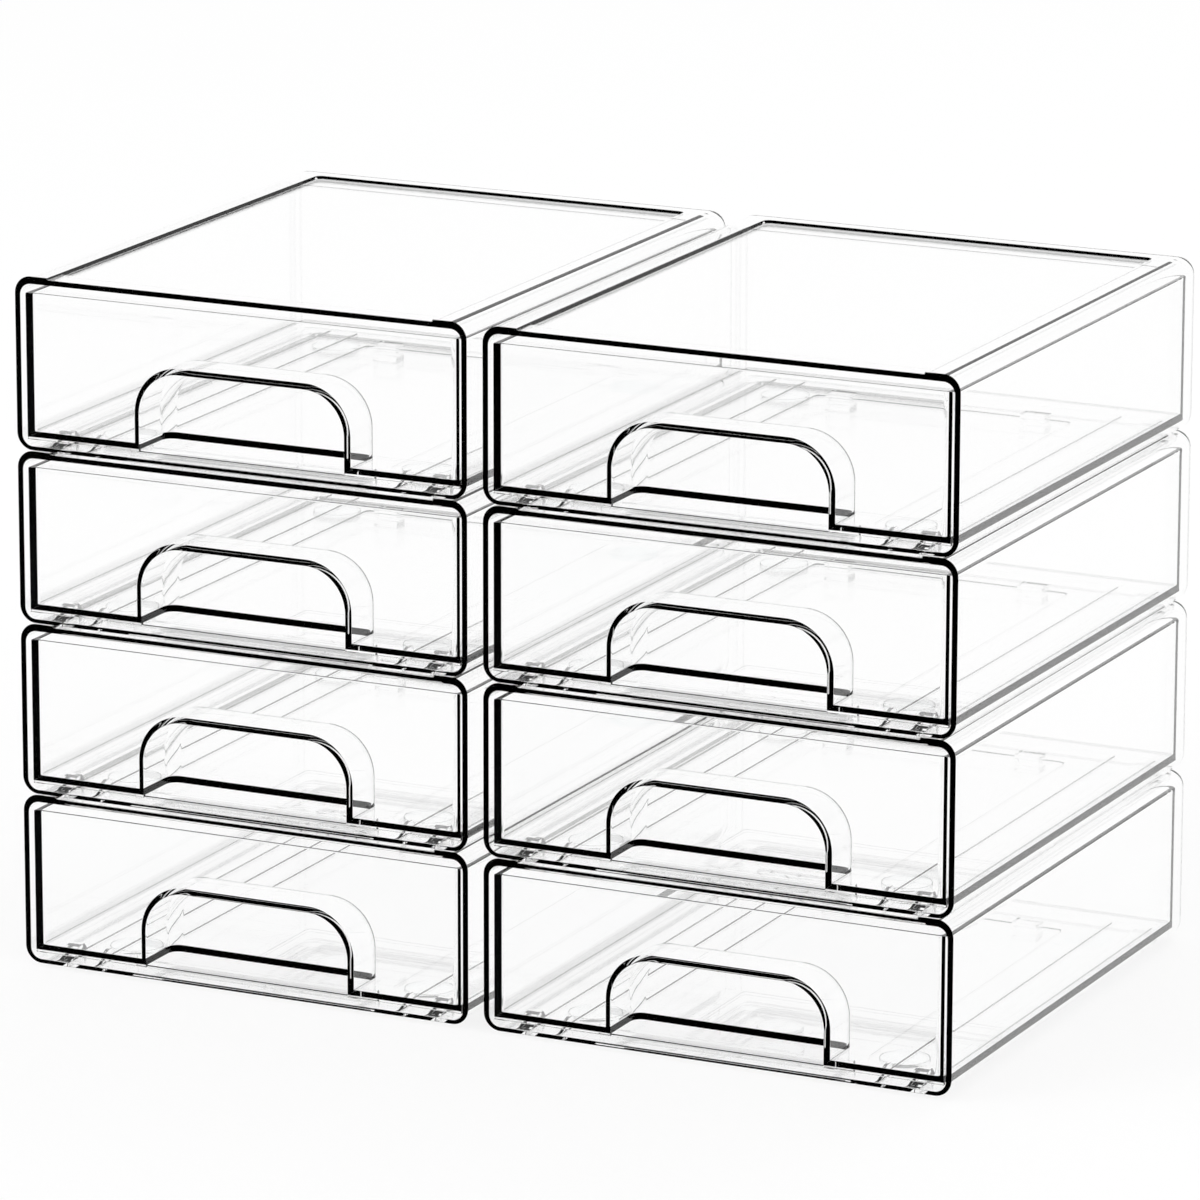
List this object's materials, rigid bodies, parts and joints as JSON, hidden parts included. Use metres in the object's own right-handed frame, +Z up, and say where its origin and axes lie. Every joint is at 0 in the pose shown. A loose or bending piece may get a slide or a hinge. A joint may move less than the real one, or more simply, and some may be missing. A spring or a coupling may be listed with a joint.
{
  "type": "stackable drawer set",
  "caption": "Set of clear plastic stackable drawer units in side-by-side columns; each rounded casing holds a sliding drawer with an arched finger niche.",
  "frame": {"origin": "on the table, at the centre of the set's footprint", "axes": "+Z up, +Y to the back, so drawers open towards -Y; +X along the two columns, to the right seen from the front"},
  "size_m": [0.3458, 0.206, 0.2424],
  "materials": {
    "casing_clear_plastic": "moulded clear polystyrene, polished",
    "drawer_clear_plastic": "moulded clear polystyrene, polished",
    "foot_clear_silicone": "clear silicone, slightly frosted"
  },
  "bodies": {
    "base": {"left_casing_1": "casing_clear_plastic", "left_foot_1_front_left": "foot_clear_silicone", "left_foot_1_front_right": "foot_clear_silicone", "left_foot_1_back_left": "foot_clear_silicone", "left_foot_1_back_right": "foot_clear_silicone", "right_casing_1": "casing_clear_plastic", "right_foot_1_front_left": "foot_clear_silicone", "right_foot_1_front_right": "foot_clear_silicone", "right_foot_1_back_left": "foot_clear_silicone", "right_foot_1_back_right": "foot_clear_silicone"},
    "left_tray_1": {"left_drawer_1": "drawer_clear_plastic"},
    "left_unit_2": {"left_casing_2": "casing_clear_plastic", "left_foot_2_front_left": "foot_clear_silicone", "left_foot_2_front_right": "foot_clear_silicone", "left_foot_2_back_left": "foot_clear_silicone", "left_foot_2_back_right": "foot_clear_silicone"},
    "left_tray_2": {"left_drawer_2": "drawer_clear_plastic"},
    "left_unit_3": {"left_casing_3": "casing_clear_plastic", "left_foot_3_front_left": "foot_clear_silicone", "left_foot_3_front_right": "foot_clear_silicone", "left_foot_3_back_left": "foot_clear_silicone", "left_foot_3_back_right": "foot_clear_silicone"},
    "left_tray_3": {"left_drawer_3": "drawer_clear_plastic"},
    "left_unit_4": {"left_casing_4": "casing_clear_plastic", "left_foot_4_front_left": "foot_clear_silicone", "left_foot_4_front_right": "foot_clear_silicone", "left_foot_4_back_left": "foot_clear_silicone", "left_foot_4_back_right": "foot_clear_silicone"},
    "left_tray_4": {"left_drawer_4": "drawer_clear_plastic"},
    "right_tray_1": {"right_drawer_1": "drawer_clear_plastic"},
    "right_unit_2": {"right_casing_2": "casing_clear_plastic", "right_foot_2_front_left": "foot_clear_silicone", "right_foot_2_front_right": "foot_clear_silicone", "right_foot_2_back_left": "foot_clear_silicone", "right_foot_2_back_right": "foot_clear_silicone"},
    "right_tray_2": {"right_drawer_2": "drawer_clear_plastic"},
    "right_unit_3": {"right_casing_3": "casing_clear_plastic", "right_foot_3_front_left": "foot_clear_silicone", "right_foot_3_front_right": "foot_clear_silicone", "right_foot_3_back_left": "foot_clear_silicone", "right_foot_3_back_right": "foot_clear_silicone"},
    "right_tray_3": {"right_drawer_3": "drawer_clear_plastic"},
    "right_unit_4": {"right_casing_4": "casing_clear_plastic", "right_foot_4_front_left": "foot_clear_silicone", "right_foot_4_front_right": "foot_clear_silicone", "right_foot_4_back_left": "foot_clear_silicone", "right_foot_4_back_right": "foot_clear_silicone"},
    "right_tray_4": {"right_drawer_4": "drawer_clear_plastic"}
  },
  "joints": [
    {"name": "left_drawer_1_slide", "type": "slide", "parent": "base", "child": "left_tray_1", "axis": [0, -1, 0], "range_m": [0, 0.163]},
    {"name": "left_unit_2_lift_off", "type": "slide", "parent": "base", "child": "left_unit_2", "axis": [0, 0, 1], "range_m": [0, 0.03]},
    {"name": "left_drawer_2_slide", "type": "slide", "parent": "left_unit_2", "child": "left_tray_2", "axis": [0, -1, 0], "range_m": [0, 0.163]},
    {"name": "left_unit_3_lift_off", "type": "slide", "parent": "left_unit_2", "child": "left_unit_3", "axis": [0, 0, 1], "range_m": [0, 0.03]},
    {"name": "left_drawer_3_slide", "type": "slide", "parent": "left_unit_3", "child": "left_tray_3", "axis": [0, -1, 0], "range_m": [0, 0.163]},
    {"name": "left_unit_4_lift_off", "type": "slide", "parent": "left_unit_3", "child": "left_unit_4", "axis": [0, 0, 1], "range_m": [0, 0.03]},
    {"name": "left_drawer_4_slide", "type": "slide", "parent": "left_unit_4", "child": "left_tray_4", "axis": [0, -1, 0], "range_m": [0, 0.163]},
    {"name": "right_drawer_1_slide", "type": "slide", "parent": "base", "child": "right_tray_1", "axis": [0, -1, 0], "range_m": [0, 0.163]},
    {"name": "right_unit_2_lift_off", "type": "slide", "parent": "base", "child": "right_unit_2", "axis": [0, 0, 1], "range_m": [0, 0.03]},
    {"name": "right_drawer_2_slide", "type": "slide", "parent": "right_unit_2", "child": "right_tray_2", "axis": [0, -1, 0], "range_m": [0, 0.163]},
    {"name": "right_unit_3_lift_off", "type": "slide", "parent": "right_unit_2", "child": "right_unit_3", "axis": [0, 0, 1], "range_m": [0, 0.03]},
    {"name": "right_drawer_3_slide", "type": "slide", "parent": "right_unit_3", "child": "right_tray_3", "axis": [0, -1, 0], "range_m": [0, 0.163]},
    {"name": "right_unit_4_lift_off", "type": "slide", "parent": "right_unit_3", "child": "right_unit_4", "axis": [0, 0, 1], "range_m": [0, 0.03]},
    {"name": "right_drawer_4_slide", "type": "slide", "parent": "right_unit_4", "child": "right_tray_4", "axis": [0, -1, 0], "range_m": [0, 0.163]}
  ]
}
